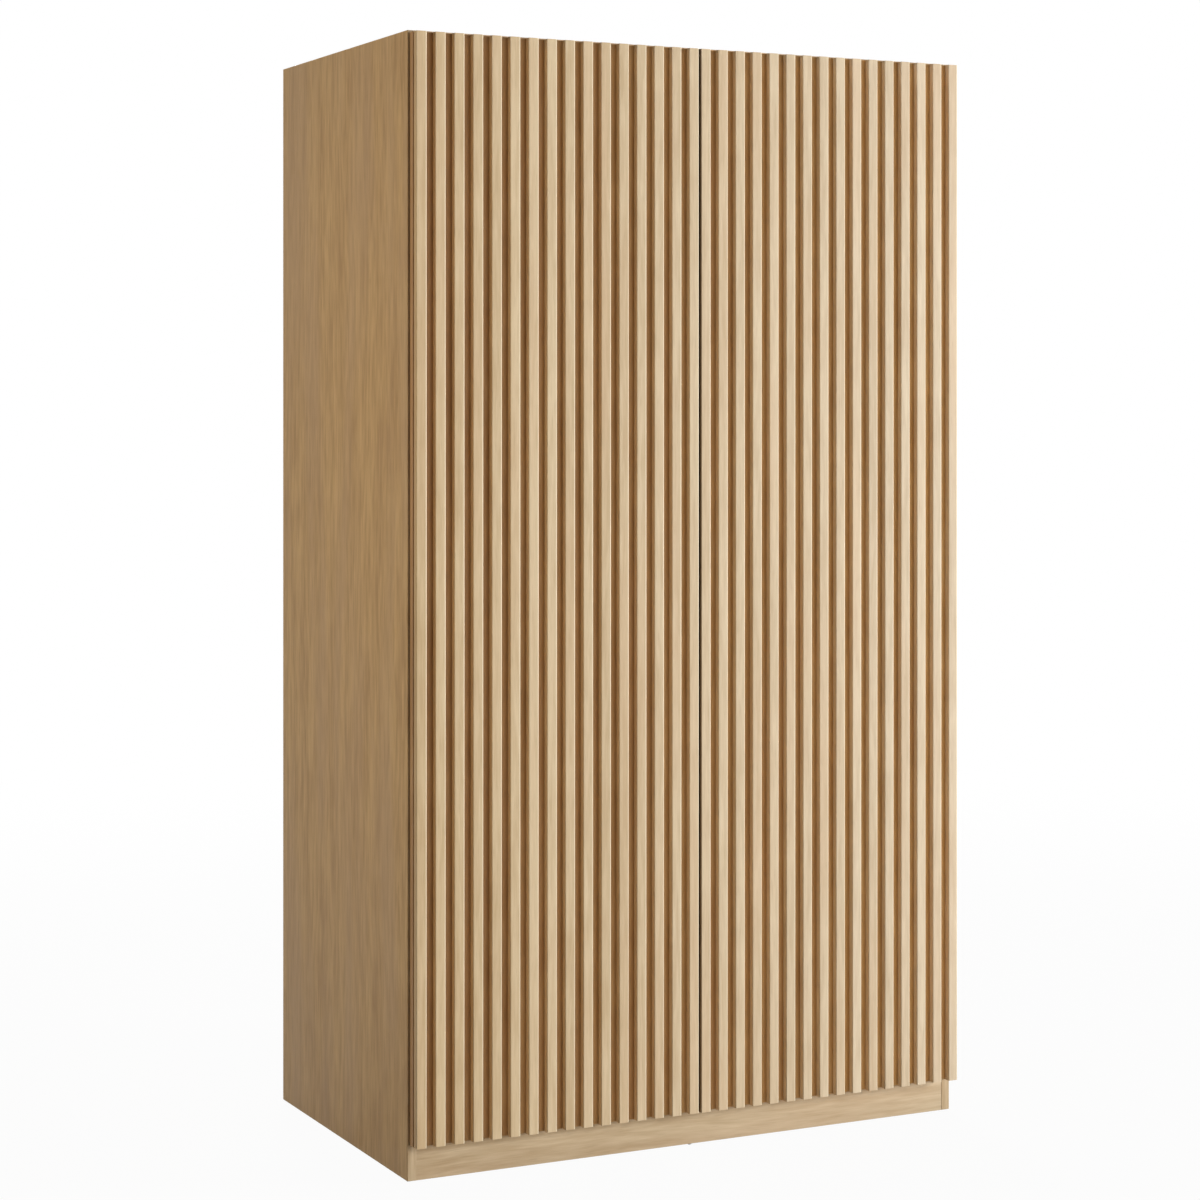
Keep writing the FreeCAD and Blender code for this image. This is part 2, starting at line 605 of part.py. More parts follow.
def save_doors():
    cup, cup_bore = hinge_cup()
    save_pair("door_board", [door_board(at_hinges([cup_bore]))], "left")
    save_pair("door_slats", slats(), "left")
    save_pair("hinge_cups", at_hinges([cup]), "left")
    save_pair("hinge_cup_pins", at_hinges(cup_pins()), "left")


def save_hinge_arms_and_links():
    save_pair("hinge_plates", at_hinges([mounting_plate()]), "left")
    save_pair("hinge_arms", at_hinges([hinge_arm()]), "left")
    save_pair("hinge_arm_pins", at_hinges(arm_pins()), "left")
    save_pair("outer_links", at_hinges([outer_link()]), "left")
    save_pair("inner_links", at_hinges([inner_link()]), "left")


def save_latches():
    for node, shape in latch().items():
        save_pair(node, [shape], "right")


os.makedirs("parts", exist_ok=True)
save_carcass()
save_doors()
save_hinge_arms_and_links()
save_latches()
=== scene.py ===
"""Looks of a two-door wardrobe with vertically slatted doors.

Metres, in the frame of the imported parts: origin on the floor at the middle of the footprint, +X to
the right seen from the front, +Y to the back, +Z up. Boards, slats and fittings get their finished
edges here, and screws, nails and cam heads are made here.
"""
import json
import math

import bmesh
import bpy
from mathutils import Matrix, Vector


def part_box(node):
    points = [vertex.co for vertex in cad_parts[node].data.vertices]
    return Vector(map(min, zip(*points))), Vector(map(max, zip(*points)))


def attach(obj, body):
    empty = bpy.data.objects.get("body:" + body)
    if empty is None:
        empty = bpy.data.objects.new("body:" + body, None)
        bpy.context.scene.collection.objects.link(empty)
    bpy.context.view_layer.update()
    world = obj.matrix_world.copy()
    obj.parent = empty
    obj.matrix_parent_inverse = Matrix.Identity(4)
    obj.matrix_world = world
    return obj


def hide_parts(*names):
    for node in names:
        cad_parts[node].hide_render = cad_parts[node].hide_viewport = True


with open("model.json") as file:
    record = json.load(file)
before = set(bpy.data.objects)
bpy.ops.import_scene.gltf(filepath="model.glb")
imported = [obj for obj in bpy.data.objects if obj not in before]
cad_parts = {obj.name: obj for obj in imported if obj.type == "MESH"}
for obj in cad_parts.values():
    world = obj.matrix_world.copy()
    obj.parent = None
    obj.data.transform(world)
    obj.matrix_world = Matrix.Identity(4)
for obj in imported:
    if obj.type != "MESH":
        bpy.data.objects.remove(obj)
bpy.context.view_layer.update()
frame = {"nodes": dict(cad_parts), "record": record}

MM = 0.001
TINY = 1e-6                       # nearer than this is the same place
SIDES = {"left": -1, "right": 1}
NODES = frame["nodes"]
BODY_OF = {node: body for body, nodes in frame["record"]["behaviour"]["bodies"].items()
           for node in nodes}

# ---------------------------------------------------------------- sizes
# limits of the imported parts
LEFT_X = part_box("side_panel_left")[0].x
RIGHT_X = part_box("side_panel_right")[1].x
GAP_EDGE_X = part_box("door_slats_right")[0].x
SLATS_FRONT_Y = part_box("door_slats_right")[0].y
DOORS_BACK_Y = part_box("door_board_left")[1].y

# boards and slats
SLATS = 16
SLAT_WIDTH = 17 * MM
SLAT_ROUND = 1.0 * MM
SLAT_FOOT = 1.6 * MM              # height of the narrower bare foot that is glued to the door
SLAT_FOOT_INSET = 5 * MM
SLAT_FOOT_CHAMFER = 0.4 * MM
BOARD_ARRIS = 0.5 * MM
DOOR_REBATE = 2.4 * MM            # along the doors' upright front edges, behind the outermost slats
PLINTH_GAP = 0.9 * MM             # at the front plinth's right end
METAL_ARRIS = 0.2 * MM
PLASTIC_ARRIS = 0.5 * MM

# screw heads: radius and height
SCREW = (3.6 * MM, 1.8 * MM)
CUP_SCREW = (3.5 * MM, 1.2 * MM)
DEPTH_SCREW = (3.4 * MM, 1.4 * MM)
SIDE_SCREW = (2.5 * MM, 1.0 * MM)
HEAD_OUTLINE = ((0.85, 1.0), (0.95, 0.8), (1.0, 0.5), (1.0, 0.0))      # shares of radius and height
HEAD_CROSS = 0.6                  # the cross's reach, as a share of the radius
HEAD_RECESS = 0.7                 # its depth, as a share of the height
HEAD_TURN = 0.7                   # radians from one head's cross to the next

# screws' places, from the middle of what they hold unless a comment says otherwise
PLATE_SCREW_Z = 16 * MM
CUP_SCREW_Z = 24 * MM
CUP_SCREW_SINK = 0.2 * MM         # below the ears' face
BRACKET_SCREW_Z = 26 * MM
LATCH_SCREW_X = 14.5 * MM
LATCH_SCREW_Y = 40 * MM           # from the housing's front
DEPTH_SCREW_BACK = 7 * MM         # from the arm's rear end
SIDE_SCREW_BACK = 15 * MM         # from the arm's rear end

# cams, nails and glides
CAM_SHARE = 0.96                  # of its pocket's radius
CAM_OUTLINE = ((0.85, 1.0), (0.97, 1.0), (1.0, 0.96), (1.0, 0.0))
CAM_CROSS = 0.5
CAM_RECESS = 2.5 * MM
NAILS_X = [side * x * MM for side in (-1, 1) for x in (60, 180, 300, 420)]
NAIL_OUTLINE = [(radius * MM, height * MM) for radius, height in
                ((0, 0), (2.6, 0), (2.6, 0.3), (2.0, 0.75), (1.0, 0.95), (0, 1))]
GLIDE_RADIUS = 4.6 * MM
GLIDE_OUTLINE = ((0, 0), (1, 0), (0.97, 0.25), (0.85, 0.55), (0.62, 0.85), (0.4, 1), (0, 1))

# hinges
PLATE_BASE = 2 * MM
PLATE_WING_Y = 13 * MM            # wings' middle from the plate's front end
ARM_WEB_X = 15.2 * MM             # arm's rear web from its nose
CUP_RADIUS = 17.4 * MM
CUP_FLANGE = (18 * MM, 1.0 * MM)  # radius and height
CUP_DEPTH = 11.5 * MM
CUP_POCKET = (27.2 * MM, 17.2 * MM, 10.6 * MM)    # width, height and depth
CUP_POCKET_CELLS = (14, 10)       # points enough round the pocket for a round rim
CUP_POCKET_SHIFT = -0.2 * MM
CUP_EAR = (13 * MM, 21 * MM, 0.9 * MM)            # width, height and thickness
CUP_EAR_SHIFT = 6 * MM            # from the cup's axis towards the door's middle
CUP_EAR_MIDDLE = 19.5 * MM        # above and below the cup's axis
CUP_EAR_ROUND = 4 * MM

# latches, wall angles and rail brackets
LATCH_EAR = 3 * MM
PLUNGER_NOSE = ((1, 3), (0.95, 1.6), (0.8, 0.6), (0.55, 0), (0.5, 0.4), (0, 0.4))   # radii, mm from the tip
STRIKE_RIM = (0.4 * MM, 0.6)      # width of its slope, and the share of its height below it
WALL_ANGLE_SHEET = 2 * MM
BRACKET_PLATE = 2.5 * MM

# turned pieces' facets, and angles between faces
ROUND_FACETS = 32
NAIL_FACETS = 20
STRIKE_FACETS = 40
FLAT_ANGLE = math.radians(1)
SMOOTH_ANGLE = math.radians(32)
SHARP_ANGLE = math.radians(50)
SQUARE = 0.999                    # largest part of a normal that is square to an axis


# ---------------------------------------------------------------- shader kit
def srgb(red, green, blue):
    """Linear colour of an 8-bit screen colour."""
    def linear(channel):
        share = channel / 255
        return share / 12.92 if share <= 0.04045 else ((share + 0.055) / 1.055) ** 2.4
    return (linear(red), linear(green), linear(blue), 1.0)


def tones(light, dark):
    """Light and dark tone of one finish, from 8-bit screen colours."""
    return srgb(*light), srgb(*dark)


class Value:
    """A node's output; arithmetic on it adds Math nodes."""

    def __init__(self, nodes, socket):
        self.nodes = nodes
        self.socket = socket

    def math(self, operation, *operands):
        return self.nodes.node("ShaderNodeMath", {"operation": operation}, enumerate(operands))

    def __add__(self, other):
        return self.math("ADD", self, other)

    def __sub__(self, other):
        return self.math("SUBTRACT", self, other)

    def __rsub__(self, other):
        return self.math("SUBTRACT", other, self)

    def __mul__(self, other):
        return self.math("MULTIPLY", self, other)

    __radd__ = __add__
    __rmul__ = __mul__

    def above(self, start, end):
        """Rises from 0 to 1 as the value goes from start to end."""
        return self.nodes.node("ShaderNodeMapRange", {"interpolation_type": "SMOOTHSTEP"},
                               {"Value": self, "From Min": start, "From Max": end})

    def kept_in(self):
        """Between 0 and 1."""
        return self.nodes.node("ShaderNodeClamp", {}, {"Value": self})


class Nodes:
    """A node tree; the nodes added to it come from its node method."""

    def __init__(self, tree):
        self.tree = tree

    def node(self, kind, settings, sockets, output=0):
        """Adds a node: its settings first, then the values or links of its sockets."""
        made = self.tree.nodes.new(kind)
        for setting, value in settings.items():
            setattr(made, setting, value)
        for key, value in dict(sockets).items():
            if isinstance(value, Value):
                self.tree.links.new(value.socket, made.inputs[key])
            else:
                made.inputs[key].default_value = value
        return Value(self, made.outputs[output])

    def seen(self):
        """1 where the camera looks, or a mirror or glass shows it, and 0 for light on the object."""
        camera, mirror, glass = (self.node("ShaderNodeLightPath", {}, {}, f"Is {ray} Ray")
                                 for ray in ("Camera", "Glossy", "Transmission"))
        return (camera + mirror + glass).kept_in()


class Finish(Nodes):
    """A material round one Principled shader, with its constants set on the shader's sockets."""

    def __init__(self, name, slot, **constants):
        self.slot = slot
        self.material = bpy.data.materials.new(name)
        self.material.use_nodes = True
        super().__init__(self.material.node_tree)
        self.shader = self.tree.nodes["Principled BSDF"]
        for socket, value in constants.items():
            self.shader.inputs[socket.replace("_", " ")].default_value = value

    def feed(self, **values):
        for socket, value in values.items():
            self.tree.links.new(value.socket, self.shader.inputs[socket.replace("_", " ")])

    def place(self):
        """Object coordinates, as three values."""
        coordinates = self.node("ShaderNodeTexCoord", {}, {}, "Object")
        return [self.node("ShaderNodeSeparateXYZ", {}, {0: coordinates}, axis) for axis in "XYZ"]

    def attribute(self, name):
        return self.node("ShaderNodeAttribute", {"attribute_name": name}, {}, "Fac")

    def point(self, x, y, z=0.0):
        return self.node("ShaderNodeCombineXYZ", {}, {"X": x, "Y": y, "Z": z})

    def noise(self, point, scale=1.0, detail=2.0, roughness=0.5):
        return self.node("ShaderNodeTexNoise", {},
                         {"Vector": point, "Scale": scale, "Detail": detail, "Roughness": roughness})

    def grain(self, across, along, cells_across, cells_along, detail, roughness=0.5):
        """Noise with so many cells to a metre across and along the grain."""
        point = self.point(across * cells_across, along * cells_along)
        return self.noise(point, detail=detail, roughness=roughness)

    def blend(self, share, first, second):
        """Colour between two, by share of the second."""
        return self.node("ShaderNodeMix", {"data_type": "RGBA"}, {0: share, 6: first, 7: second}, 2)

    def bump(self, height, depth, strength=1.0):
        return self.node("ShaderNodeBump", {},
                         {"Height": height, "Distance": depth, "Strength": strength})


# ---------------------------------------------------------------- finishes
OAK_SHEEN = 0.2

# layers of the grain: cells to a metre across and along it, detail and roughness
WANDER = (4, 1.3, 2)
BANDS = (30, 2.2, 3, 0.55)
STREAKS = (110, 10, 2, 0.6)
FIBRES = (420, 14, 3, 0.65)
PORES = (700, 30, 1)
PINK_DRIFT = (9, 1.1, 2)
WANDER_REACH = 0.04               # metres that the grain wanders over
PINKER = (0.9, 0.8, 0.78)         # shares of the light tone's red, green and blue

# from slat to slat
SLAT_SHIFT_ALONG = 3.7            # metres of the pattern
SLAT_SHIFT_ACROSS = 0.83
SLAT_TONE_STEP = 5.3
SLAT_TONE_SPREAD = 0.9
# painted highlight: pale colour laid along the slats' front edges
EDGE_HIGHLIGHT_COLOUR = srgb(255, 238, 205)


def painted_edge_highlights(finish, y):
    """Share of the painted highlights at a slat's front edges, stronger on the right, where the light comes
    from.
    """
    edge = finish.attribute("edge")
    facing_front = 1 - y.above(SLATS_FRONT_Y + 0.3 * MM, SLATS_FRONT_Y + 0.6 * MM)
    right = edge.above(0.76, 0.84) * 0.8
    left = (0 - edge).above(0.86, 0.94) * 0.35
    return (right + left) * facing_front


def oak(name, slot, grain, light_and_dark, contrast=1.0, parts=(), slats=False):
    """Printed oak: wavy bands, streaks, fibres and short pores with the grain, and a pinker drift.

    Parts are (tones, where) pairs laid over the first tones. Each slat has a stretch of grain and a
    tone of its own, and painted highlights at its front edges.
    """
    finish = Finish(name, slot, Specular_IOR_Level=OAK_SHEEN)
    light, dark = light_and_dark
    x, y, z = finish.place()
    along, across = (z, x + y) if grain == "upright" else (x, y + z)
    tone_shift = 0.0
    if slats:
        number = finish.attribute("slat")
        along = along + number * SLAT_SHIFT_ALONG
        across = across + number * SLAT_SHIFT_ACROSS
        own_tone = finish.noise(finish.point(number * SLAT_TONE_STEP, 0.5), detail=0)
        tone_shift = (own_tone - 0.5) * SLAT_TONE_SPREAD
    wander = finish.grain(across, along, *WANDER) - 0.5
    drifted = across + wander * WANDER_REACH
    bands, streaks, fibres = (finish.grain(drifted, along, *layer) - 0.5
                              for layer in (BANDS, STREAKS, FIBRES))
    pores = finish.grain(drifted, along, *PORES).above(0.6, 0.74)
    pink = finish.grain(across, along, *PINK_DRIFT).above(0.42, 0.7)
    tone = (0.5 + contrast * (bands * 1.3 + streaks * 1.7 + fibres * 0.8) + tone_shift).kept_in()
    wood = finish.blend(tone, dark, light)
    for (part_light, part_dark), where in parts:
        wood = finish.blend(where(x, y), wood, finish.blend(tone, part_dark, part_light))
    pinker = [part * share for part, share in zip(light[:3], PINKER)] + [1]
    wood = finish.blend(pink * 0.35 * contrast, wood, pinker)
    if slats:
        wood = finish.blend(painted_edge_highlights(finish, y), wood, EDGE_HIGHLIGHT_COLOUR)
    pore_colour = [part * 0.55 for part in dark[:3]] + [1]
    finish.feed(Base_Color=finish.blend(pores * 0.16 * contrast, wood, pore_colour),
                Roughness=0.46 + pores * 0.12 + fibres * 0.06,
                Normal=finish.bump(fibres * 0.5 - pores, 0.06 * MM, 0.5))
    return finish


def hardboard():
    """Printed wood face inside, raw brown fibres outside."""
    finish = Finish("hardboard", "hardboard")
    x, y, z = finish.place()
    point = finish.point(x, y, z)
    fibres = finish.noise(point, 620, 3, 0.7)
    clouds = finish.noise(point, 9, 2)
    raw = finish.blend((fibres * 0.7 + clouds * 0.3).kept_in(), srgb(112, 80, 52), srgb(158, 122, 86))
    bands = finish.grain(x, z, 42, 0.55, 3, 0.6)
    printed = finish.blend(bands, srgb(196, 166, 126), srgb(222, 198, 162))
    lo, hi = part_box("back_panel_left")
    middle = (lo.y + hi.y) / 2
    behind = y.above(middle - 0.2 * MM, middle + 0.2 * MM)
    finish.feed(Base_Color=finish.blend(behind, printed, raw),
                Roughness=0.5 + behind * 0.3,
                Normal=finish.bump(fibres * behind, 0.3 * MM, 0.6))
    return finish


def shaded_bare_core():
    """Brown fibreboard where a slat's foil ends, darkened further with painted shade for the recess behind
    each slat.
    """
    finish = Finish("shaded_bare_core", "hardboard", Specular_IOR_Level=OAK_SHEEN)
    x, y, z = finish.place()
    fibres = finish.noise(finish.point(x, y, z * 0.3), 700, 3, 0.7)
    finish.feed(Base_Color=finish.blend(fibres, srgb(66, 43, 26), srgb(102, 72, 46)),
                Roughness=0.75 + (fibres - 0.5) * 0.2,
                Normal=finish.bump(fibres, 0.2 * MM, 0.6))
    return finish


def metal(name, slot, colour, dull, roughness, brushed=0.0):
    """Metal with faint handling marks and, where brushed, a fine grain along X."""
    finish = Finish(name, slot, Metallic=1.0)
    x, y, z = finish.place()
    cloud = finish.noise(finish.point(x, y, z), 60, 3, 0.6)
    lines = finish.noise(finish.point(x * 12, y * 900, z * 900), detail=2, roughness=0.6)
    finish.feed(Base_Color=finish.blend((cloud * 0.7 + lines * 0.3).kept_in(), dull, colour),
                Roughness=roughness + (cloud - 0.5) * 0.12 + (lines - 0.5) * brushed,
                Normal=finish.bump(lines, 0.03 * MM, 0.3))
    return finish


def plastic(name, slot, colour, shade, roughness):
    """Moulded plastic with a fine grained skin."""
    finish = Finish(name, slot)
    point = finish.point(*finish.place())
    skin = finish.noise(point, 1800, 2, 0.6)
    cloud = finish.noise(point, 35, 2)
    finish.feed(Base_Color=finish.blend(cloud, shade, colour),
                Roughness=roughness + (skin - 0.5) * 0.2,
                Normal=finish.bump(skin, 0.04 * MM, 0.4))
    return finish


# where a part's tones lie
# painted light: share of the lit right-hand tones, growing from the left end to the right end
def painted_light_rightwards(x, y):
    return (x + 0.5).kept_in()


# painted shade: the left panel's outer face gets a warmer, more saturated tone for the shade it lies in
def shaded_left_outside(x, y):
    return 1 - x.above(LEFT_X + 0.1 * MM, LEFT_X + 0.4 * MM)


def right_outside(x, y):
    return x.above(RIGHT_X - 0.4 * MM, RIGHT_X - 0.1 * MM)


def door_inside(x, y):
    return y.above(DOORS_BACK_Y - 0.7 * MM, DOORS_BACK_Y - 0.3 * MM)


def shaded_meeting_edges(x, y):
    """Painted shade on the doors' edges in the centre gap, darker the deeper they lie."""
    near = 1 - x.math("ABSOLUTE", x).above(GAP_EDGE_X + 0.2 * MM, GAP_EDGE_X + 0.8 * MM)
    return near * (0.35 + y.above(SLATS_FRONT_Y, SLATS_FRONT_Y + 8 * MM) * 0.65)


# the right-hand tones of the plinth, slats and doors are painted light and sheen, blended in towards the
# right end
PLINTH_LEFT = tones((212, 189, 154), (180, 153, 116))
PLINTH_LIT_RIGHT = tones((219, 199, 166), (187, 163, 128))
SLATS_LEFT = tones((229, 203, 162), (207, 177, 134))
SLATS_LIT_RIGHT = tones((229, 210, 181), (207, 185, 154))
DOORS_LEFT = tones((206, 167, 121), (176, 134, 89))
DOORS_LIT_RIGHT = tones((244, 202, 140), (222, 173, 109))
# painted shade: warmer tones for the left panel's outer face
SIDE_LEFT_SHADE_TONE = tones((223, 188, 134), (188, 150, 98))
SIDE_RIGHT = tones((200, 177, 142), (174, 148, 112))
INSIDE = tones((226, 202, 168), (202, 172, 132))
# painted shade for the centre gap's edges
PAINTED_GAP_SHADE = (tones((96, 70, 42), (76, 52, 28)), shaded_meeting_edges)

SLAT_OAK = oak("oak_slats", "oak_laminate", "upright", SLATS_LEFT,
               parts=[(SLATS_LIT_RIGHT, painted_light_rightwards), PAINTED_GAP_SHADE], slats=True)
SIDE_OAK = oak("oak_sides", "oak_laminate", "upright", PLINTH_LEFT, 1.3,
               [(SIDE_LEFT_SHADE_TONE, shaded_left_outside), (SIDE_RIGHT, right_outside)])
DOOR_OAK = oak("oak_doors", "oak_laminate", "upright", DOORS_LEFT,
               parts=[(DOORS_LIT_RIGHT, painted_light_rightwards), PAINTED_GAP_SHADE, (INSIDE, door_inside)])
PLINTH_OAK = oak("oak_plinth", "oak_laminate", "lying", PLINTH_LEFT,
                 parts=[(PLINTH_LIT_RIGHT, painted_light_rightwards)])
INSIDE_OAK = oak("oak_inside", "oak_melamine", "lying", INSIDE, 0.8)
# the slat feet's dark finish is partly painted shade
SHADED_BARE_CORE = shaded_bare_core()
HARDBOARD = hardboard()
BEECH = oak("beech", "beech", "lying", tones((226, 196, 154), (204, 168, 122)), 0.5)
ZINC = metal("zinc", "zinc", srgb(176, 178, 182), srgb(140, 142, 146), 0.42)
STEEL = metal("nickel_steel", "nickel_steel", srgb(206, 203, 196), srgb(176, 173, 166), 0.26, 0.15)
CHROME = metal("chrome_tube", "chrome_tube", srgb(226, 227, 230), srgb(206, 208, 212), 0.09, 0.06)
BRACKET = metal("bracket_metal", "bracket_metal", srgb(204, 206, 210), srgb(184, 187, 192), 0.38)
WHITE = plastic("white_plastic", "white_plastic", srgb(236, 233, 226), srgb(222, 219, 212), 0.45)
GREY = plastic("grey_plastic", "grey_plastic", srgb(202, 202, 200), srgb(186, 186, 185), 0.5)

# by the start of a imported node's name
NODE_FINISHES = {
    "side_panel_": SIDE_OAK, "door_board_": DOOR_OAK, "door_slats_": SLAT_OAK,
    "plinth_front": PLINTH_OAK, "plinth_rear": INSIDE_OAK, "top_panel": INSIDE_OAK,
    "bottom_panel": INSIDE_OAK, "hat_shelf": INSIDE_OAK, "back_panel_": HARDBOARD,
    "back_joining_strip": WHITE, "dowels": BEECH, "cam_locks": ZINC, "cam_bolts": STEEL,
    "floor_glides": GREY, "hanging_rail": CHROME, "rail_brackets": BRACKET, "wall_angles": STEEL,
    "hinge_": STEEL, "outer_links_": STEEL, "inner_links_": STEEL, "latch_housing_": GREY,
    "latch_plunger_": WHITE, "latch_strike_": STEEL,
}


def finish_of(node):
    return next(finish for start, finish in NODE_FINISHES.items() if node.startswith(start))


def finish_nodes():
    for name, node in NODES.items():
        node.data.materials.clear()
        node.data.materials.append(finish_of(name).material)


# ---------------------------------------------------------------- mesh kit
def linked(name, data):
    """New object in the scene."""
    made = bpy.data.objects.new(name, data)
    bpy.context.scene.collection.objects.link(made)
    return made


def mesh_object(name, bm, finish):
    mesh = bpy.data.meshes.new(name)
    bm.to_mesh(mesh)
    bm.free()
    mesh.materials.append(finish.material)
    return linked(name, mesh)


def piece(name, bm, finish, body, replaced=()):
    """Finished piece on its body; it stands for the replaced nodes."""
    made = mesh_object(name, bm, finish)
    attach(made, body)
    if replaced:
        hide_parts(*replaced)
    return made


def smooth_piece(name, bm, finish, body, replaced=()):
    """Piece with its faces outward and smooth, and its sharp edges kept."""
    bmesh.ops.recalc_face_normals(bm, faces=bm.faces)
    for face in bm.faces:
        face.smooth = True
    made = piece(name, bm, finish, body, replaced)
    made.data.set_sharp_from_angle(angle=SMOOTH_ANGLE)


def picked(result, kind=bmesh.types.BMVert):
    return [part for part in result["geom"] if isinstance(part, kind)]


def middle_of(box):
    return (box[0] + box[1]) / 2


def merged_copy(node):
    """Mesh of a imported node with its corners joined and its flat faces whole."""
    bm = bmesh.new()
    bm.from_mesh(NODES[node].data)
    bmesh.ops.remove_doubles(bm, verts=bm.verts, dist=TINY)
    bmesh.ops.dissolve_limit(bm, angle_limit=FLAT_ANGLE, verts=bm.verts, edges=bm.edges)
    return bm


def solids(node):
    """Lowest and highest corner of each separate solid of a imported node, from left to right."""
    bm = merged_copy(node)
    left = set(bm.verts)
    boxes = []
    while left:
        group, front = set(), [left.pop()]
        while front:
            vert = front.pop()
            group.add(vert)
            found = {edge.other_vert(vert) for edge in vert.link_edges} & left
            left -= found
            front += found
        boxes.append(tuple(Vector([pick(vert.co[axis] for vert in group) for axis in range(3)])
                           for pick in (min, max)))
    bm.free()
    return sorted(boxes, key=lambda box: tuple(box[0]))


def lies_on(edge, axis, limit):
    return all(abs(vert.co[axis] - limit) < TINY for vert in edge.verts)


def edges_of(verts):
    """Edges at the vertices, each once and always in the same order."""
    return list(dict.fromkeys(edge for vert in verts for edge in vert.link_edges))


def upright_edges(verts):
    return [edge for edge in edges_of(verts)
            if abs(edge.verts[0].co.z - edge.verts[1].co.z) > TINY]


def open_edges(edges):
    return [edge for edge in edges if edge.is_boundary]


def round_edges(bm, edges, radius, steps=2, profile=0.5):
    """Rounds edges, or cuts them to a square rebate where the profile is 0."""
    bmesh.ops.bevel(bm, geom=edges, offset=radius, segments=steps, profile=profile, affect="EDGES",
                    material=-1, clamp_overlap=True)


def shade(bm):
    """Flat shading on faces square to an axis, smooth on the roundings between them."""
    bm.normal_update()
    for face in bm.faces:
        face.smooth = max(abs(part) for part in face.normal) < SQUARE


def block(bm, middle, size):
    return bmesh.ops.create_cube(bm, size=1, matrix=Matrix.LocRotScale(middle, None, size))["verts"]


# ---------------------------------------------------------------- boards and slats
def ease_board(node, free_ends=(), gap=0.0, rebate=0.0):
    """Copy of a packed board with its outer edges rounded.

    Its edges stay sharp at the ends along X (0 left, 1 right) that aren't free; gap shortens its
    right end, and the rebate is cut along its upright front edges.
    """
    bm = merged_copy(node)
    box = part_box(node)
    faces_of = [(axis, limit[axis]) for limit in box for axis in range(3)]
    tight = [box[end].x for end in (0, 1) if end not in free_ends]
    if rebate:
        ends = [edge for edge in upright_edges(bm.verts) if lies_on(edge, 1, box[0].y)
                and any(lies_on(edge, 0, limit.x) for limit in box)]
        round_edges(bm, ends, rebate, profile=0)
    outer = [edge for edge in bm.edges if sum(lies_on(edge, *face) for face in faces_of) == 2
             and not any(lies_on(edge, 0, limit) for limit in tight)]
    round_edges(bm, outer, BOARD_ARRIS)
    for vert in bm.verts:
        if abs(vert.co.x - box[1].x) < TINY:
            vert.co.x -= gap
    shade(bm)
    piece(node + "_eased", bm, finish_of(node), BODY_OF[node], [node])


def slat_set(side):
    """The slats of one door, foiled and with round front edges, and their narrower bare feet, darkened with
    painted shade.

    "slat" numbers the slats through both doors; "edge" goes from -1 to 1 over a slat's front.
    """
    node = "door_slats_" + side
    first_number = SLATS if side == "right" else 0
    lo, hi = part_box(node)
    middle_z = (lo.z + hi.z) / 2
    pitch = (hi.x - lo.x - SLAT_WIDTH) / (SLATS - 1)
    body_size = Vector((SLAT_WIDTH, hi.y - lo.y - SLAT_FOOT, hi.z - lo.z))
    foot_size = Vector((SLAT_WIDTH - 2 * SLAT_FOOT_INSET, SLAT_FOOT, hi.z - lo.z))
    bodies, feet = bmesh.new(), bmesh.new()
    number_layer = bodies.verts.layers.float.new("slat")
    edge_layer = bodies.verts.layers.float.new("edge")
    for number in range(SLATS):
        middle = Vector((lo.x + SLAT_WIDTH / 2 + number * pitch, lo.y + body_size.y / 2, middle_z))
        corners = block(bodies, middle, body_size)
        for vert in corners:
            in_front = 1 if vert.co.y < middle.y else 0
            vert[number_layer] = first_number + number
            vert[edge_layer] = math.copysign(in_front, vert.co.x - middle.x)
        front = [edge for edge in upright_edges(corners) if lies_on(edge, 1, lo.y)]
        round_edges(bodies, front, SLAT_ROUND, 3)
        corners = block(feet, Vector((middle.x, hi.y - SLAT_FOOT / 2, middle_z)), foot_size)
        round_edges(feet, upright_edges(corners), SLAT_FOOT_CHAMFER, 1)
    shade(bodies)
    shade(feet)
    piece(node + "_rounded", bodies, finish_of(node), BODY_OF[node], [node])
    piece("slat_feet_" + side, feet, SHADED_BARE_CORE, BODY_OF[node])


def boards():
    for node in ("top_panel", "bottom_panel", "hat_shelf", "plinth_rear"):
        ease_board(node)
    ease_board("plinth_front", gap=PLINTH_GAP)
    for end, side in enumerate(SIDES):
        ease_board("side_panel_" + side, [end])
        ease_board("door_board_" + side, [0, 1], rebate=DOOR_REBATE)
        slat_set(side)


# ---------------------------------------------------------------- round pieces and heads
def spun(outline, facets=ROUND_FACETS):
    """Maker of a solid of revolution about Z through (radius, height) points."""
    def make(bm):
        before = set(bm.verts)
        verts = [bm.verts.new((radius, 0, height)) for radius, height in outline]
        edges = [bm.edges.new(ends) for ends in zip(verts, verts[1:])]
        bmesh.ops.spin(bm, geom=verts + edges, cent=(0, 0, 0), axis=(0, 0, 1), angle=math.tau,
                       steps=facets, use_merge=True)
        added = [vert for vert in bm.verts if vert not in before]
        bmesh.ops.remove_doubles(bm, verts=added, dist=TINY)
        return [vert for vert in bm.verts if vert not in before]
    return make


def skirt(bm, ring, outline):
    """Carries a ring of edges round Z through (radius, height) circles and closes it."""
    for radius, height in outline:
        grown = bmesh.ops.extrude_edge_only(bm, edges=ring)
        for vert in picked(grown):
            vert.co = (*(vert.co.xy.normalized() * radius), height)
        ring = open_edges(picked(grown, bmesh.types.BMEdge))
    bmesh.ops.contextual_create(bm, geom=ring)


